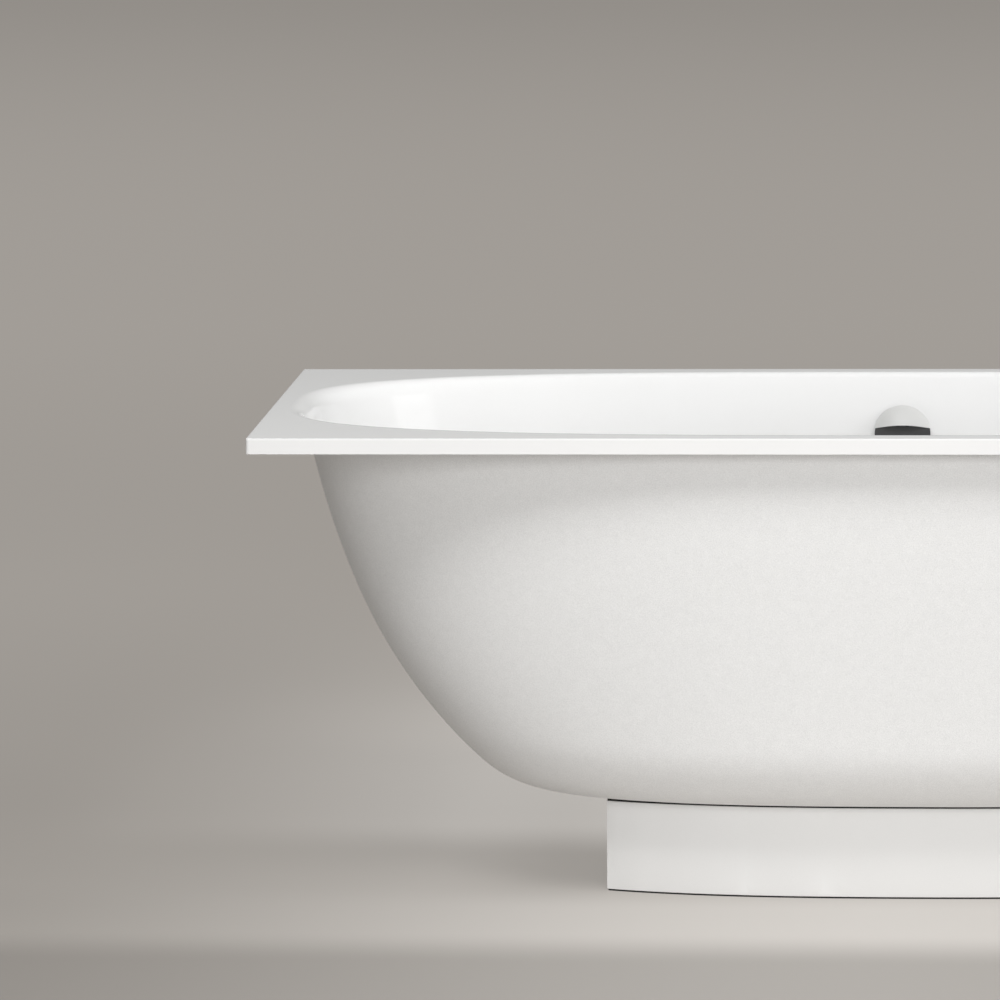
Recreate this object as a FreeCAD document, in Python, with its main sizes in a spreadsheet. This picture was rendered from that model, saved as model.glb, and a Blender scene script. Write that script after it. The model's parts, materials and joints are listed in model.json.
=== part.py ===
import FreeCAD, Part
import math
import os
import re

import Sketcher
from FreeCAD import Vector

# Driving sizes, in millimetres and degrees
SIZES = {
    # Rim and skirt of the pressed steel shell
    "bath_length": 1500,
    "bath_width": 700,
    "rim_height": 567,
    "skirt_drop": 18,
    "wall": 3.5,
    "rim_corner_radius": 4,
    "rim_edge_radius": 1.2,
    # Basin: a roll over the rim's edge, leaning walls, then the floor radius
    "rim_flat_end": 21,
    "rim_flat_side": 32.3,
    "roll_crest": 80,
    "roll_end": 25,
    "roll_side": 7,
    "end_lean": 11,
    "end_mid_angle": 22.3,
    "end_low_angle": 47,
    "end_mid_radius": 599,
    "end_floor_radius": 123,
    "side_lean": 5,
    "side_low_angle": 8,
    "side_floor_radius": 90.5,
    "rim_exponent": 3.1,
    "floor_exponent": 2.72,
    # Plinth
    "plinth_height": 108,
    "plinth_length": 698,
    "plinth_depth": 354,
    "plinth_bow_length": 930,
    "plinth_exponent": 2.45,
    "panel_thickness": 12,
    "plinth_gasket": 4,
    "gasket_inset": 1,
    "gasket_width": 8,
    "floor_seal": 2,
    "floor_seal_inset": 1.5,
    "post_width": 25,
    "post_depth": 34,
    "post_trim": 6,
    "post_screw_diameter": 4,
    "post_screw_bite": 8,
    "post_screw_spacing": 50,
    "screw_head_diameter": 8,
    "screw_head_height": 2.5,
    "screw_fit": 0.1,
    # Foot rails, cushions and brackets
    "rail_inset": 107,
    "rail_gap": 5,
    "rail_width": 40,
    "rail_height": 28,
    "rail_flange": 15,
    "rail_sheet": 2.5,
    "rail_cushion": 3,
    "bracket_sheet": 3,
    "bracket_height": 18,
    "bracket_leg": 34,
    "bracket_overlap": 24,
    "bracket_bolt_diameter": 5,
    "bracket_bolt_inset": 12,
    "bracket_nut_height": 4,
    # Levelling feet
    "foot_inset": 35,
    "foot_pad_diameter": 50,
    "foot_pad_height": 12,
    "foot_pad_neck": 24,
    "foot_pad_edge": 6,
    "stud_diameter": 10,
    "stud_fit": 0.06,
    "stud_reach": 20,
    "nut_flats": 17,
    "nut_height": 8,
    # Overflow, along the axis square to the rear wall
    "overflow_drop": 76,
    "overflow_hole": 52,
    "seat_gap": 0.4,
    "seat_diameter": 69,
    "seat_thickness": 4.8,
    "seat_web": 3.5,
    "seat_neck": 44,
    "seat_neck_wall": 3,
    "seat_reach": 12,
    "seat_boss": 18,
    "port_count": 6,
    "port_diameter": 8,
    "port_circle": 28,
    "spindle_diameter": 10,
    "spindle_fit": 0.06,
    "dial_gap": 0.3,
    "dial_diameter": 69,
    "dial_thickness": 6,
    "dial_socket": 4,
    "cap_diameter": 71,
    "cap_rise": 17,
    "cap_wall": 2.2,
    "lip_height": 9,
    "lip_slope": 7,
    "lip_arch": 240,
    "wall_seal": 2,
    "elbow_flange": 62,
    "elbow_flange_thickness": 4,
    "elbow_diameter": 52,
    "elbow_wall": 3,
    "elbow_depth": 30,
    "elbow_axis": 20,
    "elbow_drop": 42,
    "drum_diameter": 24,
    "drum_thickness": 8,
    "drum_groove": 2,
    "drum_setback": 16,
    # Overflow pipe
    "pipe_diameter": 28,
    "pipe_wall": 2,
    "pipe_bend_radius": 45,
    "pipe_seal": 2,
    "pipe_nut_diameter": 36,
    "pipe_nut_length": 24,
    "pipe_nut_fit": 0.3,
    # Cable glands
    "gland_boss": 16,
    "gland_boss_reach": 4,
    "gland_flats": 12,
    "gland_hex_height": 6,
    "gland_ferrule": 7,
    "gland_ferrule_length": 10,
    "gland_bore": 3,
    # Waste in the floor
    "waste_inset": 97,
    "waste_hole": 52,
    "flange_diameter": 70,
    "flange_rim": 2,
    "top_seal": 1,
    "top_seal_diameter": 66,
    "neck_diameter": 46,
    "neck_wall": 3,
    "neck_length": 22,
    "neck_fit": 0.1,
    "spider_bar": 5,
    "spider_depth": 6,
    "stem_guide": 14,
    "stem_diameter": 8,
    "stem_fit": 0.06,
    "waste_gasket": 3,
    "gasket_room": 2,
    "cup_flange_diameter": 80,
    "cup_flange": 8,
    "cup_diameter": 70,
    "cup_wall": 4,
    "cup_height": 64,
    "inlet_height": 30,
    "inlet_reach": 52,
    # Plug and its lift
    "plug_diameter": 54,
    "plug_crown": 5.5,
    "plug_dome_radius": 100,
    "plug_gap": 0.3,
    "plug_seal": 2,
    "plug_seal_diameter": 50,
    "plug_seal_width": 4,
    "lever_height": 26,
    "lever_arm": 24,
    "lever_width": 10,
    "lever_bar": 6,
    "lever_boss_radius": 5.5,
    "lever_tip_radius": 4,
    "lever_gap": 0.3,
    "lever_shaft_diameter": 5,
    "lever_shaft_fit": 0.06,
    "lever_shaft_length": 44,
    # Trap and outlet
    "trap_offset": 110,
    "trap_diameter": 76,
    "trap_clearance": 15,
    "trap_body_height": 56,
    "trap_bowl_diameter": 70,
    "trap_bowl_height": 27,
    "trap_bore_depth": 50,
    "drain_height": 23,
    "drain_diameter": 40,
    "drain_wall": 2.5,
    "drain_reach": 56,
    "drain_fall": 5,
    "drain_seal": 2,
    "drain_nut_diameter": 54,
    "drain_nut_length": 26,
    "drain_nut_fit": 0.5,
    "outlet_collar_step": 0.25,
    "outlet_length": 77,
    "notch_room": 10,
    # Under the floor
    "mat_length": 130,
    "mat_depth": 150,
    "mat_thickness": 3,
    "mat_offset": 115,
    "mat_inset": 47,
    "lug_gap": 17,
    "lug_width": 30,
    "lug_drop": 10,
    "lug_sheet": 2.5,
    "lug_foot": 20,
    "lug_reach": 26,
    "lug_hole": 8.5,
    "lug_hole_inset": 12,
}

# Heights and centres that follow from the driving sizes
PLACES = {
    "floor_under": "plinth_height + plinth_gasket",
    "floor_top": "floor_under + wall",
    "rail_top": "floor_under - rail_cushion",
    "rail_base": "rail_top - rail_height",
    "stud_top": "rail_base + stud_reach",
    "panel_end": "plinth_length / 2 - panel_thickness",
    "rail_offset": "panel_end - rail_inset",
    "bow_share": "panel_end / (plinth_bow_length / 2 - panel_thickness)",
    "panel_inside": "plinth_depth / 2 - panel_thickness",
    "corner_y": "panel_inside * (1 - bow_share ^ plinth_exponent) ^ (1 / plinth_exponent)",
    "rail_edge": "(rail_offset + rail_width / 2 + rail_flange) / (plinth_bow_length / 2 - panel_thickness)",
    "rail_room": "panel_inside * (1 - rail_edge ^ plinth_exponent) ^ (1 / plinth_exponent)",
    "rail_length": "2 * (rail_room - rail_gap)",
    "foot_offset": "rail_length / 2 - foot_inset",
    "waste_setback": "plinth_depth / 2 - waste_inset",
    "mat_setback": "plinth_depth / 2 - mat_inset - mat_depth / 2",
    "lug_offset": "panel_end - post_width - lug_gap",
    "overflow_z": "rim_height - overflow_drop",
    "seat_front": "seat_gap + seat_thickness",
    "dial_back": "seat_front + dial_gap",
    "dial_front": "dial_back + dial_thickness",
    "cap_sphere": "(cap_diameter ^ 2 / 4 + cap_rise ^ 2) / (2 * cap_rise)",
    "elbow_front": "wall + seat_gap + wall_seal",
    "elbow_bore": "elbow_diameter - 2 * elbow_wall",
    "pipe_bore": "pipe_diameter - 2 * pipe_wall",
    "flange_base": "floor_top + top_seal",
    "flange_top": "flange_base + flange_rim",
    "neck_base": "flange_base - neck_length",
    "cup_top": "floor_under - waste_gasket",
    "cup_base": "cup_top - cup_height",
    "cup_bore": "cup_diameter - 2 * cup_wall",
    "inlet_z": "cup_base + inlet_height",
    "drain_z": "cup_base + drain_height",
    "drain_bore": "drain_diameter - 2 * drain_wall",
    "lever_z": "cup_base + lever_height",
    "lever_y": "waste_setback + lever_arm",
    "stem_base": "lever_z + lever_tip_radius + lever_gap",
    "plug_base": "flange_top + plug_gap + plug_seal",
    "trap_x": "0 - trap_offset",
    "trap_base": "floor_under - trap_clearance - trap_body_height",
    "outlet_z": "drain_z - drain_fall",
    "outlet_start": "waste_setback + drain_reach + drain_seal",
}

BASIN_POINT_COUNT = 24
PLINTH_POINT_COUNT = 16
ROLL_BAND_COUNT = 2
WALL_BAND_COUNT = 6
FLOOR_BAND_COUNT = 6
FLOOR_ANGLE = 90
SHANK_SIDE_COUNT = 8

doc = FreeCAD.newDocument("BuiltInBath")
sheet = doc.addObject("Spreadsheet::Sheet", "Sizes")
for row, (alias, number) in enumerate(SIZES.items(), start=1):
    sheet.set(f"A{row}", alias)
    sheet.set(f"B{row}", str(number))
    sheet.setAlias(f"B{row}", alias)
doc.recompute()

places = doc.addObject("App::VarSet", "Places")
WALL_PLACES = ["overflow_y", "overflow_lean", "pipe_y", "elbow_z"]
nodes = []


def linked(text):
    """An expression in which each named size points at its cell."""
    def full(match):
        word = match.group()
        if word in SIZES:
            return f"Sizes.{word}"
        if word in PLACES or word in WALL_PLACES:
            return f"Places.{word}"
        return word
    return re.sub(r"[a-z]\w*", full, str(text))


def size(name):
    """The present value of a driving size or a derived place."""
    return float(sheet.get(name)) if name in SIZES else float(getattr(places, name))


def bind(piece, **sizes):
    for name, text in sizes.items():
        piece.setExpression(name, linked(text))
    return piece


def place(piece, x=0, y=0, z=0, axis="0; 0; 1", turn=0):
    """Put a piece at a point, turned about an axis through that point."""
    return bind(piece, Placement=f"placement(vector({x}; {y}; {z}); rotation(vector({axis}); {turn}))")


def along_x(piece, x, y, z):
    return place(piece, x, y, z, "0; 1; 0", 90)


def along_y(piece, x, y, z):
    return place(piece, x, y, z, "1; 0; 0", -90)


def node(label, piece):
    """Name a finished sub-part, which is written to a file of that name."""
    piece.Label = label
    nodes.append(piece)
    return piece


def cylinder(diameter, height):
    return bind(doc.addObject("Part::Cylinder", "round"), Radius=f"({diameter}) / 2", Height=height)


def prism(sides, flats, height):
    """A regular prism, given across its flats."""
    piece = bind(doc.addObject("Part::Prism", "prism"),
                 Circumradius=f"({flats}) / 2 / cos(180 / {sides})", Height=height)
    piece.Polygon = sides
    return piece


def block(length, width, height, x=0, y=0, z=0):
    """A box with its underside centred at x, y, z."""
    piece = bind(doc.addObject("Part::Box", "block"), Length=length, Width=width, Height=height)
    return place(piece, f"{x} - ({length}) / 2", f"{y} - ({width}) / 2", z)


def cut(base, *tools):
    for tool in tools:
        result = doc.addObject("Part::Cut", "cut")
        result.Base = base
        result.Tool = tool
        base = result
    return base


def fuse(*pieces):
    result = doc.addObject("Part::MultiFuse", "fused")
    result.Shapes = list(pieces)
    return result


def common(*pieces):
    result = doc.addObject("Part::MultiCommon", "shared")
    result.Shapes = list(pieces)
    return result


def group(pieces):
    result = doc.addObject("Part::Compound", "set")
    result.Links = pieces
    return result


def tube(outer, bore, height):
    return cut(cylinder(outer, height), cylinder(bore, height))


def sketch(body, role, corners, name):
    """A closed outline on one of the body's origin planes, each corner held by its own two sizes."""
    drawing = body.newObject("Sketcher::SketchObject", name)
    drawing.AttachmentSupport = [(next(f for f in body.Origin.OriginFeatures if f.Role == role), "")]
    drawing.MapMode = "FlatFace"
    count = len(corners)
    turns = [math.tau * k / count for k in range(count)]
    spread = [Vector(math.cos(turn), math.sin(turn), 0) for turn in turns]
    for k in range(count):
        drawing.addGeometry(Part.LineSegment(spread[k], spread[(k + 1) % count]), False)
    for k in range(count):
        drawing.addConstraint(Sketcher.Constraint("Coincident", k, 2, (k + 1) % count, 1))
    for k, corner in enumerate(corners):
        for kind, text in zip(("DistanceX", "DistanceY"), corner):
            index = drawing.addConstraint(Sketcher.Constraint(kind, -1, 1, k, 1, 1.0))
            drawing.setExpression(f"Constraints[{index}]", linked(text))
    return drawing


def padded(name, role, corners, length):
    """A body with one outline padded evenly to both sides of its plane."""
    body = doc.addObject("PartDesign::Body", name)
    pad = body.newObject("PartDesign::Pad", name + "_pad")
    pad.Profile = sketch(body, role, corners, name + "_outline")
    pad.SideType = "Symmetric"
    bind(pad, Length=length)
    return body


def turned(name, corners):
    """A body revolved about its own upright axis; each corner is a radius and a height."""
    body = doc.addObject("PartDesign::Body", name)
    drawing = sketch(body, "XZ_Plane", corners, name + "_outline")
    revolution = body.newObject("PartDesign::Revolution", name + "_turn")
    revolution.Profile = drawing
    revolution.ReferenceAxis = (drawing, ["V_Axis"])
    return body


def rounded(body, radius, chosen):
    """Round the edges of the body's last feature that the test picks."""
    doc.recompute()
    last = body.Tip
    names = [f"Edge{k}" for k, edge in enumerate(last.Shape.Edges, start=1) if chosen(edge)]
    fillet = body.newObject("PartDesign::Fillet", "rounding")
    fillet.Base = (last, names)
    return bind(fillet, Radius=radius)


def sine(angle):
    return math.sin(math.radians(angle))


def cosine(angle):
    return math.cos(math.radians(angle))


class WallProfile:
    """One upright section of the basin: the roll over the rim, then tangent arcs down to the floor.

    Each arc ends at its own lean from upright, and the first arc's radius makes up the depth.
    """

    def __init__(self, start, roll, lean, arcs, depth):
        self.start, self.roll, self.lean = start, roll, lean
        left = depth - roll * (sine(size("roll_crest")) - sine(lean))
        for (before, _), (angle, radius) in zip(arcs, arcs[1:]):
            left -= radius * (sine(angle) - sine(before))
        first = arcs[0][0]
        self.arcs = [(first, left / (sine(first) - sine(lean)))] + arcs[1:]

    def at(self, depth, offset):
        """Half width and lean at a depth, on the face that lies offset outside the inner one."""
        radius = self.roll - offset
        crest = self.roll * sine(size("roll_crest"))
        reached = crest - radius * sine(self.lean)
        if depth <= reached:
            angle = math.asin((crest - depth) / radius)
            return self.start - radius * math.cos(angle), math.degrees(angle)
        width, lean = self.start - radius * cosine(self.lean), self.lean
        for end, inner_radius in self.arcs:
            radius = inner_radius + offset
            rise = min(1.0, sine(lean) + (depth - reached) / radius)
            if rise <= sine(end) or end == self.arcs[-1][0]:
                angle = math.degrees(math.asin(rise))
                return width - radius * (cosine(lean) - cosine(angle)), angle
            width -= radius * (cosine(lean) - cosine(end))
            reached += radius * (sine(end) - sine(lean))
            lean = end


def superellipse(half_length, half_width, exponent, z, count):
    """A closed smooth outline at a height, through a count of points."""
    points = []
    for k in range(count):
        angle = math.tau * k / count
        across, along = math.sin(angle), math.cos(angle)
        reach = (abs(along) ** exponent + abs(across) ** exponent) ** (-1 / exponent)
        points.append(Vector(half_length * along * reach, half_width * across * reach, z))
    curve = Part.BSplineCurve()
    curve.interpolate(Points=points, PeriodicFlag=True, Parameters=[float(k) for k in range(count + 1)])
    return Part.Wire(curve.toShape())


for name, text in PLACES.items():
    places.addProperty("App::PropertyFloat", name)
    places.setExpression(name, linked(text))
doc.recompute()

inner_depth = size("rim_height") - size("floor_top")
end_profile = WallProfile(
    size("bath_length") / 2 - size("rim_flat_end"), size("roll_end"), size("end_lean"),
    [(size("end_mid_angle"), None), (size("end_low_angle"), size("end_mid_radius")),
     (FLOOR_ANGLE, size("end_floor_radius"))], inner_depth)
side_profile = WallProfile(
    size("bath_width") / 2 - size("rim_flat_side"), size("roll_side"), size("side_lean"),
    [(size("side_low_angle"), None), (FLOOR_ANGLE, size("side_floor_radius"))], inner_depth)

# The overflow's place on the rear wall, read from the basin's own section
overflow_y, overflow_lean = side_profile.at(size("overflow_drop"), 0)
for name, number in (("overflow_y", overflow_y), ("overflow_lean", overflow_lean)):
    places.addProperty("App::PropertyFloat", name)
    setattr(places, name, number)
for name, text in (("pipe_y", "overflow_y + elbow_axis * cos(overflow_lean)"),
                   ("elbow_z", "overflow_z - elbow_axis * sin(overflow_lean)")):
    places.addProperty("App::PropertyFloat", name)
    places.setExpression(name, linked(text))
doc.recompute()


def section_depths(offset):
    """Depths below the rim at which the basin's outline is drawn, on one face of the wall."""
    crest = sine(size("roll_crest"))
    depths = [offset]
    for roll, lean in ((size("roll_side"), size("side_lean")), (size("roll_end"), size("end_lean"))):
        start = math.degrees(math.asin((roll * crest - depths[-1]) / (roll - offset)))
        turn = (lean - start) / ROLL_BAND_COUNT
        for k in range(1, ROLL_BAND_COUNT + 1):
            depths.append(roll * crest - (roll - offset) * sine(start + turn * k))
    bottom = inner_depth + offset
    radius = size("side_floor_radius") + offset
    low = size("side_low_angle")
    junction = bottom - radius * (1 - sine(low))
    top = depths[-1]
    depths += [top + (junction - top) * k / WALL_BAND_COUNT for k in range(1, WALL_BAND_COUNT + 1)]
    turn = (FLOOR_ANGLE - low) / FLOOR_BAND_COUNT
    depths += [bottom - radius * (1 - sine(low + turn * k)) for k in range(1, FLOOR_BAND_COUNT + 1)]
    return depths


def basin(name, offset):
    """The solid inside one face of the wall, through outlines from the rim down to the floor."""
    outlines = []
    for depth in section_depths(offset):
        share = depth / (inner_depth + offset)
        exponent = size("rim_exponent") * (1 - share) + size("floor_exponent") * share
        outline = doc.addObject("Part::Feature", name + "_outline")
        outline.Shape = superellipse(end_profile.at(depth, offset)[0], side_profile.at(depth, offset)[0],
                                     exponent, size("rim_height") - depth, BASIN_POINT_COUNT)
        outlines.append(outline)
    loft = doc.addObject("Part::Loft", name)
    loft.Sections = outlines
    loft.Solid = True
    loft.Ruled = True
    return loft


def on_overflow(piece, along="0"):
    """Move a piece drawn along its own Z onto the overflow's axis, which points into the basin."""
    y = f"overflow_y - ({along}) * cos(overflow_lean)"
    z = f"overflow_z + ({along}) * sin(overflow_lean)"
    return place(piece, 0, y, z, "1; 0; 0", "90 - overflow_lean")


def rim_tray():
    """The flat rim with its turned-down skirt, open underneath."""
    half_x, half_y = "bath_length / 2", "bath_width / 2"
    body = doc.addObject("PartDesign::Body", "rim_tray")
    pad = body.newObject("PartDesign::Pad", "rim_plate")
    pad.Profile = sketch(body, "XY_Plane", rectangle(half_x, half_y), "rim_outline")
    pad.Reversed = True
    bind(pad, Length="skirt_drop")
    rounded(body, "rim_corner_radius", lambda e: abs(e.tangentAt(e.FirstParameter).z) > 0.9)
    doc.recompute()
    solid_volume = body.Shape.Volume
    pocket = body.newObject("PartDesign::Pocket", "under_rim")
    pocket.Profile = sketch(body, "XY_Plane", rectangle(f"{half_x} - wall", f"{half_y} - wall"),
                            "under_rim_outline")
    bind(pocket.Profile[0], **{"AttachmentOffset.Base.z": "0 - skirt_drop"})
    pocket.Reversed = True
    bind(pocket, Length="skirt_drop - wall")
    doc.recompute()
    if body.Shape.Volume > 0.6 * solid_volume:
        raise RuntimeError("the space under the rim was not cut")
    inside_x = size("bath_length") / 2 - size("wall")

    def inner_corner(edge):
        upright = abs(edge.tangentAt(edge.FirstParameter).z) > 0.9
        return upright and abs(abs(edge.CenterOfMass.x) - inside_x) < 0.01

    rounded(body, "rim_corner_radius - wall", inner_corner)
    rounded(body, "rim_edge_radius", lambda e: e.BoundBox.ZMin > -0.01)
    return place(body, z="rim_height")


def rectangle(half_x, half_y):
    return [(f"0 - ({half_x})", f"0 - ({half_y})"), (half_x, f"0 - ({half_y})"),
            (half_x, half_y), (f"0 - ({half_x})", half_y)]


def bath_shell():
    drain = place(cylinder("waste_hole", "wall + 2 * gasket_room"), 0, "waste_setback",
                  "floor_under - gasket_room")
    overflow = on_overflow(cylinder("overflow_hole", "wall + 4 * gasket_room"),
                           "0 - wall - 2 * gasket_room")
    body = fuse(rim_tray(), basin("basin_outside", size("wall")))
    node("bath_shell", cut(body, basin("basin_inside", 0), drain, overflow))


def sound_mats():
    mats = []
    for side in (-1, 1):
        mats.append(block("mat_length", "mat_depth", "mat_thickness", f"{side} * mat_offset",
                          "0 - mat_setback",
                          "floor_under - mat_thickness"))
    node("sound_mats", group(mats))


def earthing_lug():
    """A stepped tab under the floor, with an upright hole for the earthing bolt."""
    low = "0 - lug_drop - lug_sheet"
    tab = padded("earthing_tab", "XZ_Plane", [
        ("0", "0"), ("lug_foot", "0"), ("lug_foot", "0 - lug_sheet"), ("lug_sheet", "0 - lug_sheet"),
        ("lug_sheet", low), ("0 - lug_reach", low), ("0 - lug_reach", "0 - lug_drop"),
        ("0", "0 - lug_drop")], "lug_width")
    hole = place(cylinder("lug_hole", "lug_sheet"), "lug_hole_inset - lug_reach", 0, low)
    node("earthing_lug", place(cut(tab, hole), "lug_offset", "waste_setback", "floor_under"))


def plinth_region(offset, z, height, trim="0"):
    """The space inside the plinth's bowed outline, set in by an offset and cut square at both ends."""
    outline = doc.addObject("Part::Feature", "plinth_outline")
    outline.Shape = superellipse(size("plinth_bow_length") / 2 - offset, size("plinth_depth") / 2 - offset,
                                 size("plinth_exponent"), 0, PLINTH_POINT_COUNT)
    solid = doc.addObject("Part::Extrusion", "plinth_region")
    solid.Base = outline
    solid.DirMode = "Custom"
    solid.Dir = Vector(0, 0, 1)
    solid.Solid = True
    bind(solid, LengthFwd=height)
    place(solid, z=z)
    return common(solid, block(f"plinth_length - 2 * ({trim})", "plinth_depth", height, z=z))


def plinth():
    """Two bowed panels and two flat ends, on corner posts, with a soft black joint under the shell."""
    thickness, top, base = size("panel_thickness"), "plinth_height", "floor_seal"
    height = "plinth_height - floor_seal"
    walls = cut(plinth_region(0, base, height), plinth_region(thickness, base, height))
    depth = "plinth_depth / 2"
    notches = []
    for x, z, across in (("0", "inlet_z", "pipe_diameter"), ("trap_x", "outlet_z", "drain_diameter")):
        across = f"{across} + 2 * notch_room"
        slot = block(across, "plinth_depth", z, x, depth)
        notches.append(fuse(slot, along_y(cylinder(across, "plinth_depth"), x, "0", z)))
    for side, label, cuts in ((-1, "plinth_front_panel", []), (1, "plinth_rear_panel", notches)):
        half = block("plinth_length", depth, top, y=f"{side} * plinth_depth / 4")
        node(label, cut(common(walls, half), *cuts))
    inside = plinth_region(thickness, base, height)
    screws = []
    posts = []
    for side, label in ((-1, "plinth_left_panel"), (1, "plinth_right_panel")):
        panel = common(inside, block("panel_thickness", "plinth_depth", top,
                                     f"{side} * (panel_end + panel_thickness / 2)"))
        holes = []
        for face in (-1, 1):
            post_y = f"{face} * (corner_y - post_depth / 2)"
            post = common(inside, block("post_width", "post_depth", f"{top} - 2 * post_trim",
                                        f"{side} * (panel_end - post_width / 2)", post_y, "post_trim"))
            post_holes = []
            for rise in (-1, 1):
                z = f"{top} / 2 + {rise} * post_screw_spacing / 2"
                head_x = f"{side} * (panel_end - post_width - screw_head_height / 2) - screw_head_height / 2"
                head = along_x(prism(6, "screw_head_diameter", "screw_head_height"), head_x, post_y, z)
                reach = "(post_width + post_screw_bite)"
                start = f"{side} * (panel_end - post_width + {reach} / 2) - {reach} / 2"
                screws.append(fuse(head, along_x(prism(SHANK_SIDE_COUNT, "post_screw_diameter", reach),
                                                 start, post_y, z)))
                hole = along_x(prism(SHANK_SIDE_COUNT, "post_screw_diameter + 2 * screw_fit", reach),
                               start, post_y, z)
                holes.append(hole)
                post_holes.append(hole)
            posts.append(cut(post, *post_holes))
        node(label, cut(panel, *holes))
    node("corner_posts", group(posts))
    node("post_screws", group(screws))
    inset, width = size("gasket_inset"), size("gasket_width")
    node("plinth_gasket", cut(plinth_region(inset, top, "plinth_gasket", "gasket_inset"),
                              plinth_region(inset + width, top, "plinth_gasket",
                                            "gasket_inset + gasket_width")))
    floor_seals(notches)


def floor_seals(notches):
    """Black strips that close the gap between the panels and the floor, set back from their faces."""
    inset, thickness = size("floor_seal_inset"), size("panel_thickness")
    bowed = cut(plinth_region(inset, "0", "floor_seal", "floor_seal_inset"),
                plinth_region(thickness - inset, "0", "floor_seal"))
    strips = []
    for side, cuts in ((-1, []), (1, notches)):
        half = block("plinth_length", "plinth_depth / 2", "floor_seal", y=f"{side} * plinth_depth / 4")
        strips.append(cut(common(bowed, half), *cuts))
    inside = plinth_region(thickness, "0", "floor_seal")
    for side in (-1, 1):
        space = block("panel_thickness - 2 * floor_seal_inset", "plinth_depth", "floor_seal",
                      f"{side} * (panel_end + panel_thickness / 2)")
        strips.append(common(inside, space))
    node("plinth_floor_seals", group(strips))


def foot_rails():
    """Two hat-section rails across the floor, on soft cushions, with brackets to the plinth's panels."""
    outer, sheet_t = "rail_width / 2", "rail_sheet"
    half = [(f"{outer} + rail_flange", "rail_height"),
            (f"{outer} + rail_flange", f"rail_height - {sheet_t}"),
            (outer, f"rail_height - {sheet_t}"), (outer, "0")]
    inner = [(f"{outer} - {sheet_t}", sheet_t), (f"{outer} - {sheet_t}", "rail_height")]
    mirrored = [(f"0 - ({x})", z) for x, z in half]
    inner_mirrored = [(f"0 - ({x})", z) for x, z in inner]
    profile = half + mirrored[::-1] + inner_mirrored[::-1] + inner
    cushions = []
    brackets = []
    bolts = []
    inside = plinth_region(size("panel_thickness"), "0", "plinth_height")
    inside_sheet = plinth_region(size("panel_thickness") + size("bracket_sheet"), "0", "plinth_height")
    liner = cut(inside, inside_sheet)
    for side, label in ((-1, "foot_rail_left"), (1, "foot_rail_right")):
        x = f"{side} * rail_offset"
        rail = place(padded(label + "_section", "XZ_Plane", profile, "rail_length"), x, 0, "rail_base")
        holes = []
        for face in (-1, 1):
            holes.append(place(cylinder("stud_diameter + 2 * stud_fit", "rail_sheet"), x,
                               f"{face} * foot_offset", "rail_base"))
            bolt_y = f"{face} * (rail_length / 2 - bracket_bolt_inset)"
            wall_x = f"{side} * (rail_offset - rail_width / 2)"
            bracket_z = "rail_base + rail_sheet + (rail_height - 2 * rail_sheet - bracket_height) / 2"
            bolt_z = f"{bracket_z} + bracket_height / 2"
            leg_y = f"{face} * (rail_length / 2 - bracket_overlap + plinth_depth / 2)"
            rail_leg = block("bracket_sheet", "plinth_depth", "bracket_height",
                             f"{wall_x} - {side} * bracket_sheet / 2", leg_y, bracket_z)
            panel_leg = block("bracket_leg", "plinth_depth", "bracket_height",
                              f"{wall_x} - {side} * bracket_leg / 2", leg_y, bracket_z)
            shank_length = "(bracket_sheet + rail_sheet + bracket_nut_height)"
            middle = f"{wall_x} + {side} * ({shank_length} / 2 - bracket_sheet)"
            hole = along_x(prism(SHANK_SIDE_COUNT, "bracket_bolt_diameter + 2 * screw_fit",
                                 shank_length), f"{middle} - {shank_length} / 2", bolt_y, bolt_z)
            holes.append(hole)
            brackets.append(cut(fuse(common(rail_leg, inside), common(panel_leg, liner)), hole))
            head = f"{wall_x} - {side} * (bracket_sheet + screw_head_height / 2)"
            nut = f"{wall_x} + {side} * (rail_sheet + bracket_nut_height / 2)"
            bolts.append(fuse(
                along_x(prism(6, "screw_head_diameter", "screw_head_height"),
                        f"{head} - screw_head_height / 2", bolt_y, bolt_z),
                along_x(prism(SHANK_SIDE_COUNT, "bracket_bolt_diameter", shank_length),
                        f"{middle} - {shank_length} / 2", bolt_y, bolt_z),
                along_x(prism(6, "screw_head_diameter", "bracket_nut_height"),
                        f"{nut} - bracket_nut_height / 2", bolt_y, bolt_z)))
            cushions.append(block("rail_flange", "rail_length", "rail_cushion",
                                  f"{x} + {face} * (rail_width + rail_flange) / 2", 0, "rail_top"))
        node(label, cut(rail, *holes))
    node("rail_cushions", group(cushions))
    node("panel_brackets", group(brackets))
    node("bracket_bolts", group(bolts))


def levelling_feet():
    """Four screw feet: a soft pad, a stud through the rail, a fixed nut above and a lock nut below."""
    fixed = []
    locks = []
    for end, x in (("left", "0 - rail_offset"), ("right", "rail_offset")):
        for face, y in (("front", "0 - foot_offset"), ("rear", "foot_offset")):
            radius, neck = "foot_pad_diameter / 2", "foot_pad_neck / 2"
            pad = turned(f"pad_{face}_{end}", [
                ("0", "0"), (radius, "0"), (radius, "foot_pad_edge"), (neck, "foot_pad_height"),
                ("0", "foot_pad_height")])
            node(f"foot_pad_{face}_{end}", place(pad, x, y))
            stud = cylinder("stud_diameter", "stud_top - foot_pad_height")
            node(f"foot_stud_{face}_{end}", place(stud, x, y, "foot_pad_height"))
            for nuts, z in ((fixed, "rail_base + rail_sheet"), (locks, "rail_base - nut_height")):
                nut = cut(prism(6, "nut_flats", "nut_height"),
                          cylinder("stud_diameter + 2 * stud_fit", "nut_height"))
                nuts.append(place(nut, x, y, z))
    node("rail_nuts", group(fixed))
    node("lock_nuts", group(locks))


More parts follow.
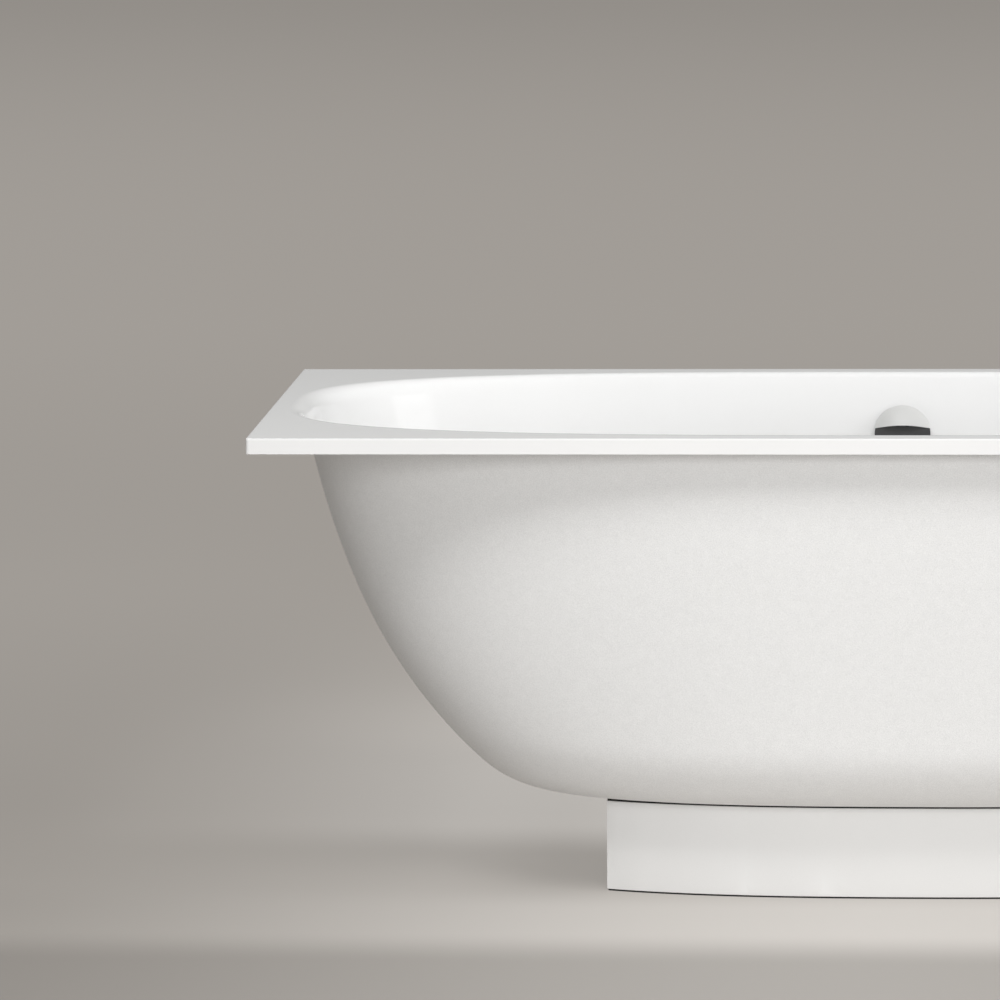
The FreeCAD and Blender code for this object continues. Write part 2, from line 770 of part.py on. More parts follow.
def gland(label):
    """A cable gland: hexagon, ferrule and bore, drawn along its own Z."""
    length = "gland_hex_height + gland_ferrule_length"
    shape = fuse(prism(6, "gland_flats", "gland_hex_height"), cylinder("gland_ferrule", length))
    return node(label, cut(shape, cylinder("gland_bore", length)))


def overflow():
    """The turning knob on the rear wall, its seat, and the elbow behind the wall."""
    bore = "spindle_diameter / 2 + spindle_fit"
    rim, boss = "seat_diameter / 2", "seat_boss / 2"
    neck, neck_in = "seat_neck / 2", "seat_neck / 2 - seat_neck_wall"
    back = "0 - seat_reach"
    web = "seat_front - seat_web"
    seat = turned("overflow_seat_turning", [
        (bore, back), (boss, back), (boss, web), (neck_in, web), (neck_in, back), (neck, back),
        (neck, "seat_gap"),
        (rim, "seat_gap"), (rim, "seat_front - seat_gap"), (f"{rim} - 1", "seat_front"),
        (bore, "seat_front")])
    ports = []
    for k in range(int(size("port_count"))):
        turn = f"({k} * 360 / port_count)"
        ports.append(place(prism(6, "port_diameter", "seat_web + 2 * seat_gap"),
                           f"port_circle / 2 * cos{turn}",
                           f"port_circle / 2 * sin{turn}", f"{web} - seat_gap"))
    node("overflow_seat", on_overflow(cut(seat, *ports)))

    lip = place(cylinder("2 * lip_arch", "2 * cap_diameter"), "0",
                "lip_height - lip_arch * cos(lip_slope) - cap_diameter * sin(lip_slope)",
                "dial_back + lip_arch * sin(lip_slope) - cap_diameter * cos(lip_slope)",
                "1; 0; 0", "0 - lip_slope")
    disc = place(cylinder("dial_diameter", "dial_thickness"), z="dial_back")
    socket = place(cylinder("spindle_diameter + 2 * spindle_fit", "dial_socket"), z="dial_back")
    node("overflow_dial", on_overflow(cut(common(disc, lip), socket)))

    domes = []
    for inset in ("0", "cap_wall"):
        dome = bind(doc.addObject("Part::Sphere", "dome"), Radius=f"cap_sphere - {inset}")
        place(dome, z="dial_back + cap_rise - cap_sphere")
        above = place(cylinder("2 * cap_diameter", "2 * cap_rise"), z="dial_back")
        domes.append(common(dome, above))
    node("overflow_cap", on_overflow(cut(domes[0], domes[1], lip)))

    drum_front, drum = "0 - drum_setback", "drum_diameter / 2"
    spindle_back = "drum_setback + drum_thickness"
    spindle = cylinder("spindle_diameter", f"{spindle_back} + dial_back + dial_socket")
    node("overflow_spindle", on_overflow(spindle, f"0 - ({spindle_back})"))
    low, high = f"{drum_front} - drum_thickness", drum_front
    cable_drum = turned("cable_drum_turning", [
        (bore, low), (drum, low), (drum, f"{low} + drum_groove"),
        (f"{drum} - drum_groove", f"{low} + drum_thickness / 2"),
        (drum, f"{high} - drum_groove"), (drum, high), (bore, high)])
    node("cable_drum", on_overflow(cable_drum))

    node("overflow_wall_seal", on_overflow(tube("elbow_flange", "overflow_hole", "wall_seal"),
                                           "0 - elbow_front"))

    centre = "0 - elbow_axis"
    flange = place(cylinder("elbow_flange", "elbow_flange_thickness"),
                   z="0 - elbow_front - elbow_flange_thickness")
    cup = place(cylinder("elbow_diameter", "elbow_depth"), z="0 - elbow_front - elbow_depth")
    inside = place(cylinder("elbow_bore", "elbow_depth - elbow_wall"),
                   z="0 - elbow_front - elbow_depth + elbow_wall")
    down = ("1; 0; 0", "90 + overflow_lean")
    spout = place(cylinder("pipe_diameter", "elbow_drop"), 0, 0, centre, *down)
    spout_bore = place(cylinder("pipe_bore", "elbow_drop"), 0, 0, centre, *down)
    boss_length = "elbow_diameter / 2 + gland_boss_reach"
    cable_boss = along_x(cylinder("gland_boss", boss_length), 0, 0, centre)
    cable_bore = along_x(cylinder("gland_bore", boss_length), 0, 0, centre)
    elbow = cut(fuse(flange, cup, spout, cable_boss), inside, spout_bore, cable_bore)
    node("overflow_body", on_overflow(elbow))
    along_x(gland("overflow_cable_gland"), boss_length, "pipe_y", "elbow_z")


def overflow_pipe():
    """The rigid pipe from the overflow down to the waste, with its nuts and seals."""
    joint_top = "elbow_z - elbow_drop"
    joint_end = "waste_setback + inlet_reach"
    ends = {}
    for part, across in (("outside", "pipe_diameter"), ("bore", "pipe_bore")):
        upright = place(cylinder(across, "elbow_z - elbow_drop - pipe_seal - inlet_z - pipe_bend_radius"),
                        0, "pipe_y", "inlet_z + pipe_bend_radius")
        level = along_y(cylinder(across, "pipe_y - pipe_bend_radius - waste_setback - inlet_reach - pipe_seal"),
                        0, f"{joint_end} + pipe_seal", "inlet_z")
        bend = bind(doc.addObject("Part::Torus", "bend"), Radius1="pipe_bend_radius",
                    Radius2=f"{across} / 2")
        bend.Angle3 = 90
        place(bend, 0, "pipe_y - pipe_bend_radius", "inlet_z + pipe_bend_radius", "0; 1; 0", 90)
        ends[part] = fuse(upright, level, bend)
    node("overflow_pipe", cut(ends["outside"], ends["bore"]))
    nut_bore = "pipe_diameter + 2 * pipe_nut_fit"
    upper = tube("pipe_nut_diameter", nut_bore, "pipe_nut_length")
    node("overflow_pipe_upper_nut", place(upper, 0, "pipe_y",
                                          f"{joint_top} - pipe_seal / 2 - pipe_nut_length / 2"))
    lower = tube("pipe_nut_diameter", nut_bore, "pipe_nut_length")
    node("overflow_pipe_lower_nut", along_y(lower, 0,
                                            f"{joint_end} + pipe_seal / 2 - pipe_nut_length / 2",
                                            "inlet_z"))
    top_ring = place(tube("pipe_diameter", "pipe_bore", "pipe_seal"), 0, "pipe_y",
                     f"{joint_top} - pipe_seal")
    end_ring = along_y(tube("pipe_diameter", "pipe_bore", "pipe_seal"), 0, joint_end, "inlet_z")
    node("overflow_pipe_seals", group([top_ring, end_ring]))


def waste():
    """The flange in the floor, the cup below it, the plug and the lever that lifts the plug."""
    y = "waste_setback"
    neck_bore = "neck_diameter - 2 * neck_wall"
    rim = place(tube("flange_diameter", neck_bore, "flange_rim"), 0, y, "flange_base")
    neck = place(tube("neck_diameter", neck_bore, "neck_length"), 0, y, "neck_base")
    bar_length = "neck_diameter - neck_wall"
    bars = [block(bar_length, "spider_bar", "spider_depth", 0, y, "neck_base"),
            block("spider_bar", bar_length, "spider_depth", 0, y, "neck_base")]
    guide = place(cylinder("stem_guide", "spider_depth"), 0, y, "neck_base")
    guide_bore = place(cylinder("stem_diameter + 2 * stem_fit", "spider_depth"), 0, y, "neck_base")
    node("waste_flange", cut(fuse(rim, neck, guide, *bars), guide_bore))
    node("waste_top_seal", place(tube("top_seal_diameter", "neck_diameter + gasket_room", "top_seal"),
                                 0, y, "floor_top"))
    node("waste_gasket", place(tube("cup_flange_diameter", "waste_hole + gasket_room", "waste_gasket"),
                               0, y, "cup_top"))

    cup = place(cylinder("cup_diameter", "cup_height"), 0, y, "cup_base")
    collar = place(cylinder("cup_flange_diameter", "cup_flange"), 0, y, "cup_top - cup_flange")
    room = place(cylinder("cup_bore", "cup_height - cup_wall - cup_flange"), 0, y, "cup_base + cup_wall")
    mouth = place(cylinder("neck_diameter + 2 * neck_fit", "cup_flange"), 0, y, "cup_top - cup_flange")
    inlet = along_y(cylinder("pipe_diameter", "inlet_reach"), 0, y, "inlet_z")
    inlet_bore = along_y(cylinder("pipe_bore", "inlet_reach"), 0, y, "inlet_z")
    drain = along_x(cylinder("drain_diameter", "drain_reach"), "0 - drain_reach", y, "drain_z")
    drain_bore = along_x(cylinder("drain_bore", "drain_reach"), "0 - drain_reach", y, "drain_z")
    boss_length = "cup_diameter / 2 + gland_boss_reach"
    cable_boss = along_x(cylinder("gland_boss", boss_length), 0, y, "lever_z")
    cable_bore = along_x(cylinder("gland_bore", boss_length), 0, y, "lever_z")
    shaft_start = "0 - lever_shaft_length / 2"
    shaft_hole = along_x(cylinder("lever_shaft_diameter + 2 * lever_shaft_fit", "lever_shaft_length"),
                         shaft_start, "lever_y", "lever_z")
    node("waste_body", cut(fuse(cup, collar, inlet, drain, cable_boss), room, mouth, inlet_bore, drain_bore,
                           cable_bore, shaft_hole))
    along_x(gland("waste_cable_gland"), boss_length, y, "lever_z")

    dome = bind(doc.addObject("Part::Sphere", "plug_dome"), Radius="plug_dome_radius")
    place(dome, 0, y, "plug_base + plug_crown - plug_dome_radius")
    disc = place(cylinder("plug_diameter", "plug_crown"), 0, y, "plug_base")
    node("waste_plug", common(disc, dome))
    node("plug_stem", place(cylinder("stem_diameter", "plug_base - stem_base"), 0, y, "stem_base"))
    seal_bore = "plug_seal_diameter - 2 * plug_seal_width"
    node("plug_seal", place(tube("plug_seal_diameter", seal_bore, "plug_seal"), 0, y,
                            "plug_base - plug_seal"))

    half_width = "0 - lever_width / 2"
    boss = along_x(cylinder("2 * lever_boss_radius", "lever_width"), half_width, "lever_y", "lever_z")
    tip = along_x(cylinder("2 * lever_tip_radius", "lever_width"), half_width, y, "lever_z")
    bar = block("lever_width", "lever_arm", "lever_bar", 0, f"{y} + lever_arm / 2",
                "lever_z - lever_bar / 2")
    bore = along_x(cylinder("lever_shaft_diameter + 2 * lever_shaft_fit", "lever_width"), half_width,
                   "lever_y", "lever_z")
    node("lift_lever", cut(fuse(boss, tip, bar), bore))
    node("lever_shaft", along_x(cylinder("lever_shaft_diameter", "lever_shaft_length"), shaft_start,
                                "lever_y", "lever_z"))


def trap():
    """The bottle trap beside the waste, its union, and the outlet through the rear panel."""
    x, y = "trap_x", "waste_setback"
    body = place(cylinder("trap_diameter", "trap_body_height"), x, y, "trap_base")
    inlet_length = "trap_offset - drain_reach - drain_seal"
    inlet = along_x(cylinder("drain_diameter", inlet_length), x, y, "drain_z")
    inlet_bore = along_x(cylinder("drain_bore", "trap_bore_depth"),
                         f"{x} + {inlet_length} - trap_bore_depth", y, "drain_z")
    spigot = along_y(cylinder("drain_diameter", "drain_reach"), x, y, "outlet_z")
    spigot_bore = along_y(cylinder("drain_bore", "trap_bore_depth"), x,
                          f"{y} + drain_reach - trap_bore_depth", "outlet_z")
    node("trap_body", cut(fuse(body, inlet, spigot), inlet_bore, spigot_bore))
    low, high = "trap_base - trap_bowl_height", "trap_base"
    radius, full = "trap_bowl_diameter / 2", "trap_diameter / 2"
    bowl = turned("trap_bowl_turning", [
        ("0", low), (f"{radius} - trap_bowl_height / 4", low), (radius, f"{low} + trap_bowl_height / 4"),
        (radius, f"{low} + trap_bowl_height / 2"), (full, f"{low} + trap_bowl_height / 2"),
        (full, high), ("0", high)])
    node("trap_bowl", place(bowl, x, y))
    nut_bore = "drain_diameter + 2 * drain_nut_fit"
    half_nut = "drain_nut_length / 2 - drain_seal / 2"
    union = tube("drain_nut_diameter", nut_bore, "drain_nut_length")
    node("trap_union_nut", along_x(union, f"0 - drain_reach - drain_seal - {half_nut}", y, "drain_z"))
    outlet_nut = tube("drain_nut_diameter", nut_bore, "drain_nut_length")
    node("trap_outlet_nut", along_y(outlet_nut, x, f"outlet_start - drain_seal - ({half_nut})", "outlet_z"))
    union_ring = along_x(tube("drain_diameter", "drain_bore", "drain_seal"),
                         "0 - drain_reach - drain_seal", y, "drain_z")
    outlet_ring = along_y(tube("drain_diameter", "drain_bore", "drain_seal"), x,
                          "outlet_start - drain_seal", "outlet_z")
    node("trap_seals", group([union_ring, outlet_ring]))
    collar = cylinder("drain_diameter + 2 * outlet_collar_step", half_nut)
    outlet = cut(fuse(cylinder("drain_diameter", "outlet_length"), collar),
                 cylinder("drain_bore", "outlet_length"))
    node("trap_outlet_pipe", along_y(outlet, x, "outlet_start", "outlet_z"))


bath_shell()
sound_mats()
earthing_lug()
plinth()
foot_rails()
levelling_feet()
overflow()
overflow_pipe()
waste()
trap()
doc.recompute()

for piece in doc.Objects:
    if "Invalid" in piece.State or "Error" in piece.State:
        raise RuntimeError(f"{piece.Label} failed: {piece.State}")
for piece in nodes:
    if piece.Shape.isNull() or not piece.Shape.isValid() or not piece.Shape.Solids:
        raise RuntimeError(f"{piece.Label} has no valid solid")

os.makedirs("parts", exist_ok=True)
for piece in nodes:
    piece.Shape.exportStep(f"parts/{piece.Label}.step")
print(f"{len(nodes)} sub-parts, {sum(len(piece.Shape.Solids) for piece in nodes)} solids")
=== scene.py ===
import json
import math

import bmesh
import bpy
from mathutils import Matrix, Vector


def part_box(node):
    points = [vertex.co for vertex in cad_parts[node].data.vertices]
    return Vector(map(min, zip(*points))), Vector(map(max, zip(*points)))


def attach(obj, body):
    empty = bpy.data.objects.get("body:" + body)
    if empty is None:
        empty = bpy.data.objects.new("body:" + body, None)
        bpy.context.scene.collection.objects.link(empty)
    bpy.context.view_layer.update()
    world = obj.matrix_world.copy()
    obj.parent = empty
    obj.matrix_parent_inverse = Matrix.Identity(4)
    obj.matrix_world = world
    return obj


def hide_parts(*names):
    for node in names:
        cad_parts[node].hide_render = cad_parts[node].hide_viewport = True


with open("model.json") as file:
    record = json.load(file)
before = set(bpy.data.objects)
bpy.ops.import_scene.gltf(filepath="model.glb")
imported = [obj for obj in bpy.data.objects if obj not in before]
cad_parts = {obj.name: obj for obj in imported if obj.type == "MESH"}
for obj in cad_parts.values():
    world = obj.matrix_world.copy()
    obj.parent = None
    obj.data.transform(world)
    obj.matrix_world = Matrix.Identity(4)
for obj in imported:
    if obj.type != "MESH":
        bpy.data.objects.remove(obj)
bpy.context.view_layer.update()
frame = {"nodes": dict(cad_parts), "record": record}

# Sizes of the pressed shell, in metres and degrees
RIM_HEIGHT = 0.567
FLOOR_TOP = 0.1155
WALL = 0.0035
HALF_LENGTH, HALF_WIDTH = 0.750, 0.350
SKIRT_DROP = 0.018
CORNER_RADIUS, EDGE_RADIUS = 0.004, 0.0012
BASIN_DEPTH = RIM_HEIGHT - FLOOR_TOP
ROLL_CREST = 80
RIM_EXPONENT, FLOOR_EXPONENT = 3.1, 2.72
RING_POINTS, WALL_RINGS, BEND_RINGS = 256, 22, 18
ROLL_LEDGE = 0.004
FLOOR_SHARES = (0.97, 0.8, 0.6, 0.4, 0.2, 0.05)
SMOOTH_LIMIT = math.radians(38)
WASTE_Y, WASTE_HOLE = 0.080, 0.052
OVERFLOW_DROP, OVERFLOW_HOLE = 0.076, 0.052
BORE_REACH = 0.01

# Sizes of the plinth, as its solids have them
PLINTH_HALF_LENGTH, PLINTH_HALF_DEPTH = 0.349, 0.177
PLINTH_BOW, PLINTH_EXPONENT = 0.465, 2.45
PANEL_EDGE = 0.0008

# Sizes of the ribs and threads
RIB_RADIUS, RIB_SINK, RIB_MARGIN = 0.0014, 0.0004, 0.003
ELBOW_BACK, ELBOW_RING, ELBOW_RIB, ELBOW_BOSS = 0.0358, 0.0215, 0.0012, 0.008
RING_STEPS, ELBOW_RIBS, ELBOW_RIB_ENDS = 48, 6, (0.007, 0.021)
THREAD_PITCH, THREAD_DEPTH, THREAD_STEPS = 0.0015, 0.0009, 12


class Reading:
    """A shader value that takes part in Python arithmetic by adding Math nodes."""

    def __init__(self, finish, socket):
        self.finish = finish
        self.socket = socket

    def maths(self, operation, first, second):
        return self.finish.add("ShaderNodeMath", {"operation": operation}, {0: first, 1: second})

    def __add__(self, other):
        return self.maths("ADD", self, other)

    __radd__ = __add__

    def __sub__(self, other):
        return self.maths("SUBTRACT", self, other)

    def __rsub__(self, other):
        return self.maths("SUBTRACT", other, self)

    def __mul__(self, other):
        return self.maths("MULTIPLY", self, other)

    __rmul__ = __mul__

    def __truediv__(self, other):
        return self.maths("DIVIDE", self, other)

    def __pow__(self, other):
        return self.maths("POWER", self, other)

    def size(self):
        return self.maths("ABSOLUTE", self, 0.0)

    def held(self, low, high):
        """The value spread from low..high to 0..1 and held there."""
        return self.finish.add("ShaderNodeMapRange", {"interpolation_type": "SMOOTHSTEP"},
                               {"Value": self, "From Min": low, "From Max": high})


class Shading:
    """A node tree with one surface node, whose other nodes are added one at a time."""

    def __init__(self, owner, surface):
        owner.use_nodes = True
        self.tree = owner.node_tree
        self.surface = self.tree.nodes[surface]

    def plug(self, socket, value):
        if isinstance(value, Reading):
            self.tree.links.new(value.socket, socket)
        elif socket.type == "RGBA":
            socket.default_value = (*value, 1.0)
        else:
            socket.default_value = value

    def set(self, name, value):
        self.plug(self.surface.inputs[name], value)

    def add(self, kind, settings=None, inputs=None, output=0):
        """A node of that kind with its settings and sockets filled, read at one of its outputs."""
        node = self.tree.nodes.new(kind)
        for name, value in (settings or {}).items():
            setattr(node, name, value)
        for name, value in (inputs or {}).items():
            self.plug(node.inputs[name], value)
        return Reading(self, node.outputs[output])

    def part_of(self, vector, axis):
        return self.add("ShaderNodeSeparateXYZ", None, {0: vector}, axis)

    def tinted(self, level, tint):
        shares = {k: level * share for k, share in enumerate(tint)}
        return self.add("ShaderNodeCombineColor", None, shares)


class Finish(Shading):
    """One surface finish: a material that starts from a colour, roughness and metallic share."""

    def __init__(self, name, colour, roughness, metallic=0.0, **constants):
        self.material = bpy.data.materials.new(name)
        super().__init__(self.material, "Principled BSDF")
        self.set("Base Color", colour)
        self.set("Roughness", roughness)
        self.set("Metallic", metallic)
        for socket, number in constants.items():
            self.set(socket.replace("_", " "), number)

    def place(self):
        return self.add("ShaderNodeTexCoord", output="Object")

    def stretched(self, x, y, z):
        return self.add("ShaderNodeMapping", None, {"Vector": self.place(), "Scale": (x, y, z)})

    def grain(self, scale, detail=2.0, roughness=0.5, where=None):
        inputs = {"Vector": where or self.place(), "Scale": scale}
        inputs.update({"Detail": detail, "Roughness": roughness})
        return self.add("ShaderNodeTexNoise", None, inputs, "Fac")

    def cells(self, scale):
        inputs = {"Vector": self.place(), "Scale": scale}
        return self.add("ShaderNodeTexVoronoi", None, inputs, "Distance")

    def blend(self, mask, first, second):
        return self.add("ShaderNodeMix", {"data_type": "RGBA"}, {0: mask, 6: first, 7: second}, 2)

    def bump(self, height, distance, strength=1.0):
        inputs = {"Strength": strength, "Distance": distance, "Height": height}
        self.set("Normal", self.add("ShaderNodeBump", None, inputs))


def tones(colour, change):
    """A slightly darker and a slightly lighter version of a colour."""
    dark = tuple(share * (1 - change) for share in colour)
    pale = tuple(min(1.0, share * (1 + change)) for share in colour)
    return dark, pale


def white_enamel():
    colour = (0.80, 0.80, 0.797)
    finish = Finish("white enamel", colour, 0.07, Coat_Roughness=0.03)
    dark, pale = tones(colour, 0.012)
    finish.set("Base Color", finish.blend(finish.grain(6.0), dark, pale))
    finish.set("Roughness", 0.06 + 0.04 * finish.grain(14.0))
    finish.bump(finish.grain(9.0, 1.0), 0.0004, 0.04)
    return finish


def ground_coat():
    colour = (0.775, 0.775, 0.77)
    finish = Finish("speckled ground coat", colour, 0.6, Specular_IOR_Level=0.2)
    dark, pale = tones(colour, 0.09)
    fine = finish.grain(1000.0, 1.0, 0.6)
    broad = finish.grain(90.0, 2.0)
    speckle = (fine * 0.85 + broad * 0.15).held(0.2, 0.8)
    finish.set("Base Color", finish.blend(speckle, dark, pale))
    finish.set("Roughness", 0.5 + 0.18 * broad)
    finish.bump(fine, 0.0004, 0.25)
    return finish


def panel_white():
    colour = (0.80, 0.80, 0.795)
    finish = Finish("satin white panel", colour, 0.45)
    dark, pale = tones(colour, 0.02)
    fine = finish.grain(700.0, 2.0)
    finish.set("Base Color", finish.blend(fine, dark, pale))
    finish.set("Roughness", 0.4 + 0.12 * finish.grain(60.0))
    finish.bump(fine, 0.0002, 0.2)
    return finish


def black_rubber():
    finish = Finish("black rubber", (0.012, 0.012, 0.012), 0.75)
    fine = finish.grain(900.0, 3.0)
    finish.set("Base Color", finish.blend(fine, (0.007, 0.007, 0.007), (0.02, 0.02, 0.02)))
    finish.set("Roughness", 0.65 + 0.2 * finish.grain(80.0))
    finish.bump(fine, 0.0003, 0.4)
    return finish


def softwood():
    finish = Finish("sawn softwood", (0.55, 0.38, 0.2), 0.8)
    upright = {"wave_type": "RINGS", "rings_direction": "Z"}
    growth = {"Vector": finish.stretched(1.0, 1.0, 0.12), "Scale": 60.0}
    growth.update({"Distortion": 3.0, "Detail": 2.0})
    rings = finish.add("ShaderNodeTexWave", upright, growth, "Fac")
    fibre = finish.grain(260.0, 4.0, 0.6, finish.stretched(1.0, 1.0, 0.05))
    figure = (rings * 0.6 + fibre * 0.4).held(0.1, 0.9)
    finish.set("Base Color", finish.blend(figure, (0.43, 0.27, 0.12), (0.66, 0.49, 0.29)))
    finish.set("Roughness", 0.7 + 0.2 * fibre)
    finish.bump(fibre, 0.0006, 0.5)
    return finish


def galvanised_steel():
    finish = Finish("galvanised steel", (0.55, 0.57, 0.58), 0.42, 1.0)
    crystals = {"Vector": finish.place(), "Scale": 130.0}
    spangle = finish.add("ShaderNodeTexVoronoi", {"feature": "F1"}, crystals, "Color")
    patch = finish.add("ShaderNodeSeparateColor", None, {0: spangle}, 0)
    haze = finish.grain(35.0, 3.0)
    mottle = patch * 0.5 + haze * 0.5
    finish.set("Base Color", finish.blend(mottle, (0.42, 0.44, 0.45), (0.66, 0.68, 0.69)))
    finish.set("Roughness", 0.3 + 0.25 * patch)
    finish.bump(haze, 0.0004, 0.2)
    return finish


def satin_chrome():
    finish = Finish("satin chrome", (0.71, 0.71, 0.70), 0.45, 0.25)
    fine = finish.grain(500.0, 2.0, 0.5, finish.stretched(1.0, 1.0, 12.0))
    finish.set("Base Color", finish.blend(fine, (0.69, 0.69, 0.68), (0.74, 0.74, 0.73)))
    finish.set("Roughness", 0.42 + 0.1 * fine)
    finish.bump(fine, 0.0001, 0.15)
    return finish


def moulded(name, colour, roughness):
    """A moulded plastic with a fine spark-eroded grain."""
    finish = Finish(name, colour, roughness)
    dark, pale = tones(colour, 0.12)
    fine = finish.grain(420.0, 3.0, 0.6)
    cloudy = finish.grain(30.0, 2.0) * 0.5 + fine * 0.5
    finish.set("Base Color", finish.blend(cloudy, dark, pale))
    finish.set("Roughness", roughness - 0.06 + 0.12 * fine)
    finish.bump(fine, 0.0003, 0.3)
    return finish


def turned_brass():
    finish = Finish("turned brass", (0.72, 0.5, 0.2), 0.28, 1.0)
    rings = finish.grain(900.0, 2.0, 0.5, finish.stretched(1.0, 0.06, 1.0))
    finish.set("Base Color", finish.blend(rings, (0.62, 0.42, 0.16), (0.8, 0.58, 0.27)))
    finish.set("Roughness", 0.2 + 0.18 * rings)
    finish.bump(rings, 0.0002, 0.3)
    return finish


def bitumen():
    finish = Finish("bitumen mat", (0.025, 0.023, 0.02), 0.85)
    pressed = finish.cells(220.0)
    # The pressed hollows are painted darker: painted shade in the recesses.
    depth = pressed.held(0.0, 0.6)
    finish.set("Base Color", finish.blend(depth, (0.015, 0.014, 0.012), (0.04, 0.037, 0.033)))
    finish.set("Roughness", 0.75 + 0.15 * finish.grain(90.0))
    finish.bump(pressed, 0.001, 0.5)
    return finish


def sine(angle):
    return math.sin(math.radians(angle))


def cosine(angle):
    return math.cos(math.radians(angle))


class WallProfile:
    """One upright section of the basin: the roll at the rim, then tangent arcs to the floor."""

    def __init__(self, start, roll, lean, arcs):
        self.start, self.roll, self.lean = start, roll, lean
        left = BASIN_DEPTH - roll * (sine(ROLL_CREST) - sine(lean))
        for (before, _), (angle, radius) in zip(arcs, arcs[1:]):
            left -= radius * (sine(angle) - sine(before))
        first = arcs[0][0]
        self.arcs = [(first, left / (sine(first) - sine(lean)))] + arcs[1:]

    def at(self, depth, offset):
        """Half width and lean at a depth, on the face that lies offset outside the inner one."""
        radius = self.roll - offset
        crest = self.roll * sine(ROLL_CREST)
        reached = crest - radius * sine(self.lean)
        if depth <= reached:
            angle = math.asin(min(1.0, (crest - depth) / radius))
            return self.start - radius * math.cos(angle), math.degrees(angle)
        width, lean = self.start - radius * cosine(self.lean), self.lean
        for end, inner_radius in self.arcs:
            radius = inner_radius + offset
            rise = min(1.0, sine(lean) + (depth - reached) / radius)
            if rise <= sine(end) or end == self.arcs[-1][0]:
                angle = math.degrees(math.asin(rise))
                return width - radius * (cosine(lean) - cosine(angle)), angle
            width -= radius * (cosine(lean) - cosine(end))
            reached += radius * (sine(end) - sine(lean))
            lean = end


END_WALL = WallProfile(0.729, 0.025, 11, [(22.3, None), (47, 0.599), (90, 0.123)])
SIDE_WALL = WallProfile(0.3177, 0.007, 5, [(8, None), (90, 0.0905)])
OVERFLOW_Y, OVERFLOW_LEAN = SIDE_WALL.at(OVERFLOW_DROP, 0)


def basin_ring(depth, offset, grow=0.0, scale=1.0):
    """The basin's outline at a depth below the rim, as a list of points."""
    share = depth / (BASIN_DEPTH + offset)
    exponent = RIM_EXPONENT * (1 - share) + FLOOR_EXPONENT * share
    half_x = (END_WALL.at(depth, offset)[0] + grow) * scale
    half_y = (SIDE_WALL.at(depth, offset)[0] + grow) * scale
    ring = []
    for k in range(RING_POINTS):
        along, across = math.cos(math.tau * k / RING_POINTS), math.sin(math.tau * k / RING_POINTS)
        reach = (abs(along) ** exponent + abs(across) ** exponent) ** (-1 / exponent)
        ring.append((half_x * along * reach, half_y * across * reach, RIM_HEIGHT - depth))
    return ring


def rim_ring(inset, z, steps=6, side_steps=16):
    """The rim's rounded rectangle, set in by an inset, at a height."""
    radius = max(CORNER_RADIUS - inset, 0.0008)
    half_x, half_y = HALF_LENGTH - inset, HALF_WIDTH - inset
    corners = [(1, 1, 0), (-1, 1, 90), (-1, -1, 180), (1, -1, 270)]
    ring = []
    for index, (side_x, side_y, turn) in enumerate(corners):
        centre = Vector((side_x * (half_x - radius), side_y * (half_y - radius), z))
        angles = [turn + 90 * k / steps for k in range(steps + 1)]
        arc = [centre + radius * Vector((cosine(a), sine(a), 0)) for a in angles]
        next_x, next_y, next_turn = corners[(index + 1) % 4]
        goal = Vector((next_x * (half_x - radius), next_y * (half_y - radius), z))
        goal += radius * Vector((cosine(next_turn), sine(next_turn), 0))
        ring += arc
        ring += [arc[-1].lerp(goal, k / side_steps) for k in range(1, side_steps)]
    return [tuple(p) for p in ring]


def depth_steps(offset):
    """Depths of the rings down one face of the wall, close together where it bends."""
    top = SIDE_WALL.roll * sine(ROLL_CREST)
    side_roll = [top - (SIDE_WALL.roll - offset) * sine(angle) for angle in (62, 50, 38, 26, 15, 5)]
    top = END_WALL.roll * sine(ROLL_CREST)
    end_roll = [top - (END_WALL.roll - offset) * sine(angle) for angle in (40, 34, 28, 22, 16, 11)]
    bottom = BASIN_DEPTH + offset
    radius = SIDE_WALL.arcs[-1][1] + offset
    lean = SIDE_WALL.arcs[0][0]
    junction = bottom - radius * (1 - sine(lean))
    height = junction - end_roll[-1]
    wall = [end_roll[-1] + height * k / WALL_RINGS for k in range(1, WALL_RINGS + 1)]
    angles = [lean + (90 - lean) * k / BEND_RINGS for k in range(1, BEND_RINGS + 1)]
    floor = [bottom - radius * (1 - sine(angle)) for angle in angles]
    rolls = sorted(d for d in side_roll + end_roll if d > offset + 0.0004)
    return [offset] + rolls + wall + floor


def bridge(mesh, first, second, material):
    """A band of faces between two rings of the same count."""
    count = len(first)
    for k in range(count):
        after = (k + 1) % count
        face = mesh.faces.new((first[k], first[after], second[after], second[k]))
        face.material_index = material
        face.smooth = True


def plate(mesh, outer, inner, material):
    """A flat plate between two rings of different counts."""
    edges = []
    for ring in (outer, inner):
        for k in range(len(ring)):
            edge = mesh.edges.get((ring[k], ring[(k + 1) % len(ring)]))
            edges.append(edge or mesh.edges.new((ring[k], ring[(k + 1) % len(ring)])))
    made = bmesh.ops.triangle_fill(mesh, use_beauty=True, use_dissolve=False, edges=edges)
    for item in made["geom"]:
        if isinstance(item, bmesh.types.BMFace):
            item.material_index = material
            item.smooth = True


